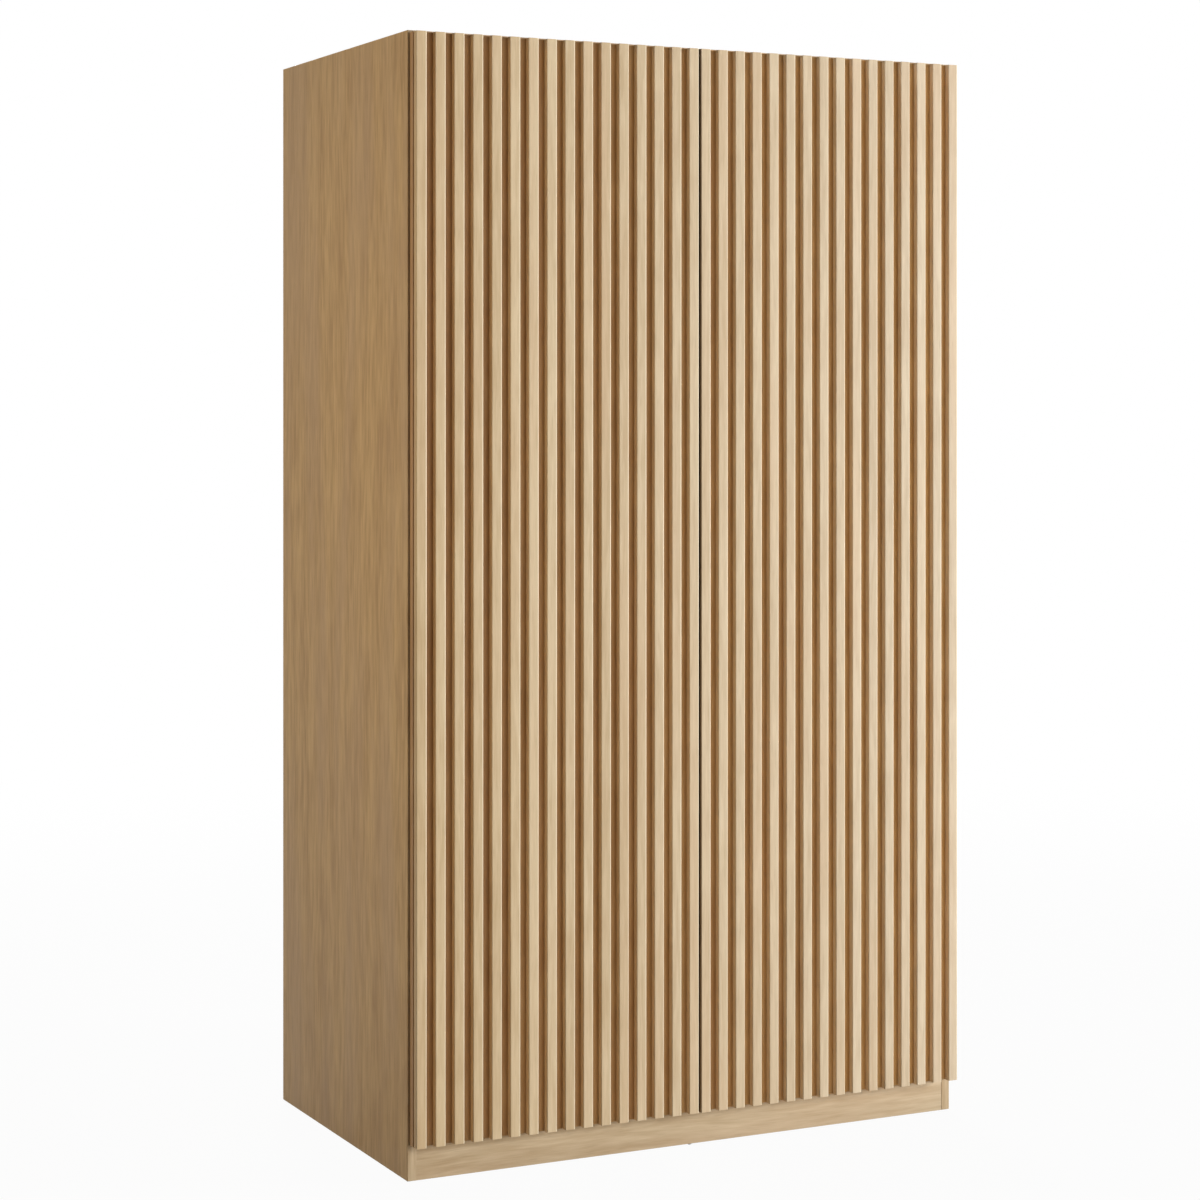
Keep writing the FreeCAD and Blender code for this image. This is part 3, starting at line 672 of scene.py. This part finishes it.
def crossed(radius, height, cross=HEAD_CROSS, outline=HEAD_OUTLINE, recess=None):
    """Maker of a round head with a cross sunk in its face; the outline is in shares of its size."""
    cells = 5
    cell = 2 * radius * cross / cells
    recess = recess or height * HEAD_RECESS

    def make(bm):
        before = set(bm.verts)
        verts = bmesh.ops.create_grid(bm, x_segments=cells, y_segments=cells, size=radius * cross)["verts"]
        bmesh.ops.translate(bm, verts=verts, vec=(0, 0, height))
        rim = open_edges(edges_of(verts))
        arms = []
        for face in dict.fromkeys(face for vert in verts for face in vert.link_faces):
            near, far = sorted(abs(part) for part in face.calc_center_median().xy)
            if near < cell / 2 and far < 1.5 * cell:
                arms.append(face)
        sunk = bmesh.ops.extrude_face_region(bm, geom=arms)
        bmesh.ops.delete(bm, geom=[face for face in arms if face.is_valid], context="FACES_ONLY")
        bmesh.ops.translate(bm, verts=picked(sunk), vec=(0, 0, -recess))
        skirt(bm, rim, [(radius * share, height * rise) for share, rise in outline])
        return [vert for vert in bm.verts if vert not in before]
    return make


def facing(place, outward, turn=0.0):
    """Matrix that puts a shape made on z = 0 at place, with its face outward."""
    return (Matrix.Translation(place) @ Vector(outward).to_track_quat("Z", "Y").to_matrix().to_4x4()
            @ Matrix.Rotation(turn, 4, "Z"))


def repeated(name, make, places, finish, body, replaced=()):
    """One piece with the made shape at each (place, outward direction), each turned differently."""
    bm = bmesh.new()
    for number, (place, outward) in enumerate(places):
        bmesh.ops.transform(bm, matrix=facing(place, outward, HEAD_TURN * number), verts=make(bm))
    smooth_piece(name, bm, finish, body, replaced)


def turned(name, node, outline, outward, finish, facets=ROUND_FACETS):
    """Round piece along Y in place of a packed one; outward is the way it grows, -1 or 1."""
    lo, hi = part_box(node)
    middle = middle_of((lo, hi))
    start = Vector((middle.x, lo.y if outward > 0 else hi.y, middle.z))
    repeated(name, spun(outline, facets), [(start, (0, outward, 0))], finish, BODY_OF[node], [node])


def ease_fitting(node, radius):
    """Copy of a packed fitting with its sharp edges eased."""
    bm = merged_copy(node)
    sharp = [edge for edge in bm.edges if edge.is_manifold and edge.calc_face_angle() > SHARP_ANGLE]
    round_edges(bm, sharp, radius)
    smooth_piece(node + "_eased", bm, finish_of(node), BODY_OF[node], [node])


# ---------------------------------------------------------------- carcass fittings
def cams():
    """Cam in each pocket: a crossed face towards the open side of its board."""
    boxes = solids("cam_locks")
    places = []
    for lo, hi in boxes:
        middle = middle_of((lo, hi))
        if hi.z - lo.z < hi.x - lo.x - TINY:
            places.append((Vector((middle.x, middle.y, hi.z)), (0, 0, -1)))
        elif middle.y < 0:
            places.append((Vector((middle.x, lo.y, middle.z)), (0, 1, 0)))
        else:
            places.append((Vector((middle.x, hi.y, middle.z)), (0, -1, 0)))
    size = boxes[-1][1] - boxes[-1][0]
    make = crossed(max(size) / 2 * CAM_SHARE, min(size), CAM_CROSS, CAM_OUTLINE, CAM_RECESS)
    repeated("cams", make, places, ZINC, "carcass", ["cam_locks"])


def glides():
    """Domed nail-on glides."""
    boxes = solids("floor_glides")
    height = boxes[0][1].z - boxes[0][0].z
    outline = [(GLIDE_RADIUS * share, height * drop) for share, drop in GLIDE_OUTLINE]
    places = [(Vector((*middle_of(box).xy, box[1].z)), (0, 0, -1)) for box in boxes]
    repeated("round_glides", spun(outline), places, GREY, "carcass", ["floor_glides"])


def back_nails():
    """Nails through the back panels into the bottom panel's rear edge."""
    z = middle_of(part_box("bottom_panel")).z
    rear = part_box("back_panel_left")[1].y
    places = [(Vector((x, rear, z)), (0, 1, 0)) for x in NAILS_X]
    repeated("back_nails", spun(NAIL_OUTLINE, NAIL_FACETS), places, STEEL, "carcass")


def carcass_screws():
    """Screws of the rail's brackets, the wall angles and the latch housings."""
    places = []
    for lo, hi in solids("rail_brackets"):
        middle = middle_of((lo, hi))
        sign = math.copysign(1, middle.x)
        face = (hi.x if sign > 0 else lo.x) - sign * BRACKET_PLATE
        places += [(Vector((face, middle.y, middle.z + z)), (-sign, 0, 0))
                   for z in (-BRACKET_SCREW_Z, BRACKET_SCREW_Z)]
    for lo, hi in solids("wall_angles"):
        middle = middle_of((lo, hi))
        places.append((Vector((middle.x, middle.y, hi.z - WALL_ANGLE_SHEET)), (0, 0, -1)))
    for side in SIDES:
        lo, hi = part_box("latch_housing_" + side)
        middle = middle_of((lo, hi))
        places += [(Vector((middle.x + x, lo.y + LATCH_SCREW_Y, hi.z - LATCH_EAR)), (0, 0, -1))
                   for x in (-LATCH_SCREW_X, LATCH_SCREW_X)]
    repeated("carcass_screws", crossed(*SCREW), places, STEEL, "carcass")


# ---------------------------------------------------------------- hinges and latches
def cup(bm):
    """Hinge cup on z = 0, the board's face: rimmed disc, sunk pocket and two screw ears."""
    radius, flange = CUP_FLANGE
    width, height, depth = CUP_POCKET
    columns, rows = CUP_POCKET_CELLS
    before = set(bm.verts)
    floor = bmesh.ops.create_grid(bm, x_segments=columns, y_segments=rows, size=0.5)["verts"]
    bmesh.ops.scale(bm, vec=(width, height, 1), verts=floor)
    bmesh.ops.translate(bm, verts=floor, vec=(CUP_POCKET_SHIFT, 0, -depth))
    walls = bmesh.ops.extrude_edge_only(bm, edges=open_edges(edges_of(floor)))
    bmesh.ops.translate(bm, verts=picked(walls), vec=(0, 0, depth + flange))
    rim = open_edges(picked(walls, bmesh.types.BMEdge))
    skirt(bm, rim, [(radius - flange / 2, flange), (radius - flange / 8, flange * 0.8),
                    (radius, flange * 0.4), (radius, 0), (CUP_RADIUS, 0), (CUP_RADIUS, -CUP_DEPTH)])
    ear = Vector(CUP_EAR)
    for end in (-1, 1):
        corners = block(bm, Vector((CUP_EAR_SHIFT, end * CUP_EAR_MIDDLE, ear.z / 2)), ear)
        far = [edge for edge in upright_edges(corners) if edge.verts[0].co.y * end > CUP_EAR_MIDDLE]
        round_edges(bm, far, CUP_EAR_ROUND, 5)
    return [vert for vert in bm.verts if vert not in before]


def hinge_cups(side, sign):
    """Cups of one door's hinges, and their screws."""
    door = "door_" + side
    turn = Matrix.Rotation(-math.pi / 2, 4, "X") @ Matrix.Diagonal((-sign, 1, 1, 1))
    bm = bmesh.new()
    places = []
    for lo, hi in solids("hinge_cups_" + side):
        middle = middle_of((lo, hi))
        face = Vector((middle.x, hi.y - CUP_FLANGE[1], middle.z))
        bmesh.ops.transform(bm, matrix=Matrix.Translation(face) @ turn, verts=cup(bm))
        screw_x = middle.x - sign * CUP_EAR_SHIFT
        places += [(Vector((screw_x, hi.y - CUP_SCREW_SINK, middle.z + z)), (0, 1, 0))
                   for z in (-CUP_SCREW_Z, CUP_SCREW_Z)]
    smooth_piece("round_cups_" + side, bm, STEEL, door, ["hinge_cups_" + side])
    repeated("cup_screws_" + side, crossed(*CUP_SCREW), places, STEEL, door)


def plate_and_arm_screws(side, sign):
    """Screws of one door's hinge plates, and the two adjusting screws in each arm."""
    inward = (-sign, 0, 0)
    places = []
    for lo, hi in solids("hinge_plates_" + side):
        face = (hi.x if sign > 0 else lo.x) - sign * PLATE_BASE
        places += [(Vector((face, lo.y + PLATE_WING_Y, middle_of((lo, hi)).z + z)), inward)
                   for z in (-PLATE_SCREW_Z, PLATE_SCREW_Z)]
    repeated("plate_screws_" + side, crossed(*SCREW), places, STEEL, "carcass")
    arms = solids("hinge_arms_" + side)
    for name, size, back in (("depth_screws_", DEPTH_SCREW, DEPTH_SCREW_BACK),
                             ("side_screws_", SIDE_SCREW, SIDE_SCREW_BACK)):
        places = []
        for lo, hi in arms:
            web = (lo.x if sign > 0 else hi.x) + sign * ARM_WEB_X
            places.append((Vector((web, hi.y - back, middle_of((lo, hi)).z)), inward))
        repeated(name + side, crossed(*size), places, STEEL, "carcass")


def radius_and_length(node):
    """Of a packed round piece along Y."""
    lo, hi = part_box(node)
    return (hi.x - lo.x) / 2, hi.y - lo.y


def latch_plunger(side):
    """Sliding plunger with a rounded nose."""
    node = "latch_plunger_" + side
    radius, length = radius_and_length(node)
    nose = [(radius * share, length - back * MM) for share, back in PLUNGER_NOSE]
    turned("round_plunger_" + side, node, [(0, 0), (radius, 0), *nose], -1, WHITE)


def latch_strike(side):
    """Self-adhesive strike disc with an eased rim."""
    node = "latch_strike_" + side
    radius, height = radius_and_length(node)
    slope, upright = STRIKE_RIM
    outline = [(0, 0), (radius, 0), (radius, height * upright), (radius - slope, height), (0, height)]
    turned("round_strike_" + side, node, outline, 1, STEEL, STRIKE_FACETS)


# ---------------------------------------------------------------- the wardrobe
boards()
cams()
glides()
back_nails()
carcass_screws()
for fitting in ("wall_angles", "rail_brackets"):
    ease_fitting(fitting, METAL_ARRIS)
for side, sign in SIDES.items():
    hinge_cups(side, sign)
    plate_and_arm_screws(side, sign)
    latch_plunger(side)
    latch_strike(side)
    ease_fitting("latch_housing_" + side, PLASTIC_ARRIS)
    for fitting in ("hinge_plates_", "hinge_arms_", "outer_links_", "inner_links_"):
        ease_fitting(fitting + side, METAL_ARRIS)
finish_nodes()

# ---------------------------------------------------------------- room, lamps and camera
FLOOR_GREY = srgb(168, 168, 168)
FLOOR_REACH = 40
SHADOW_FADE = (1.6, 4.5)          # metres from the middle over which the seen shadow fades out
SHADOW_SHARE = 0.04               # of the lit floor in what the camera sees
ROOM_LIGHT = 0.04
CAMERA_PLACE = (-2.145, -4.27, 1.217)
CAMERA_TURN = math.radians(-26.32)
CAMERA_LENS = 82.95
CAMERA_SENSOR = 36
CAMERA_SHIFT = (-0.00054, -0.1637)
LEVEL = math.radians(90)


def floor():
    """Pale floor that the camera sees almost white, with the wardrobe's shadow left in."""
    finish = Finish("pale_floor", None, Roughness=0.9, Base_Color=FLOOR_GREY)
    x, y, z = finish.place()
    distance = finish.node("ShaderNodeVectorMath", {"operation": "LENGTH"}, {0: finish.point(x, y)},
                           "Value")
    near = 1 - distance.above(*SHADOW_FADE)
    white = finish.node("ShaderNodeEmission", {}, {"Strength": 1.0})
    lit = Value(finish, finish.shader.outputs[0])
    mixed = finish.node("ShaderNodeMixShader", {},
                        {0: finish.seen() * (1 - near * SHADOW_SHARE), 1: lit, 2: white})
    finish.tree.links.new(mixed.socket, finish.tree.nodes["Material Output"].inputs["Surface"])
    bm = bmesh.new()
    bmesh.ops.create_grid(bm, x_segments=2, y_segments=2, size=FLOOR_REACH)
    mesh_object("floor", bm, finish)


def lamp(name, azimuth, distance, centre_z, width, height, watts, colour=(1, 1, 1), tilt=90):
    """Soft box; azimuth 0 is in front, 90 on the right; tilt 90 faces the object, 0 down, in degrees."""
    light = bpy.data.lights.new(name, "AREA")
    light.shape = "RECTANGLE"
    light.size, light.size_y = width, height
    light.energy = watts
    light.color = colour
    turn = math.radians(azimuth)
    made = linked(name, light)
    made.location = (distance * math.sin(turn), -distance * math.cos(turn), centre_z)
    made.rotation_euler = (math.radians(tilt), 0, turn)


def room_light(strength):
    """Even light from all round; the camera and mirrors see white."""
    world = bpy.data.worlds.new("room")
    bpy.context.scene.world = world
    world.use_nodes = True
    room = Nodes(world.node_tree)
    level = room.node("ShaderNodeMapRange", {},
                      {"Value": room.seen(), "To Min": strength, "To Max": 1.0})
    background = room.tree.nodes["Background"]
    background.inputs["Color"].default_value = (1, 1, 1, 1)
    room.tree.links.new(level.socket, background.inputs["Strength"])


def camera():
    data = bpy.data.cameras.new("camera")
    data.sensor_width = CAMERA_SENSOR
    data.lens = CAMERA_LENS
    data.shift_x, data.shift_y = CAMERA_SHIFT
    made = linked("camera", data)
    made.location = CAMERA_PLACE
    made.rotation_euler = (LEVEL, 0, CAMERA_TURN)
    bpy.context.scene.camera = made


floor()
lamp("key_lamp", azimuth=60, distance=9, centre_z=1.5, width=1.8, height=2.8, watts=1100,
     colour=(0.98, 0.99, 1.0))
lamp("front_lamp", azimuth=15, distance=7, centre_z=1.3, width=2.4, height=2.0, watts=54)
lamp("side_lamp", azimuth=-81, distance=2.35, centre_z=1.38, width=0.55, height=0.9, watts=13.6,
     colour=(1.0, 0.82, 0.5))
lamp("rear_lamp", azimuth=165, distance=6, centre_z=2.6, width=2.4, height=1.6, watts=300)
lamp("top_lamp", azimuth=180, distance=0.15, centre_z=3.6, width=0.9, height=0.8, watts=24, tilt=0)
room_light(ROOM_LIGHT)
camera()
bpy.context.scene.view_settings.view_transform = "Standard"
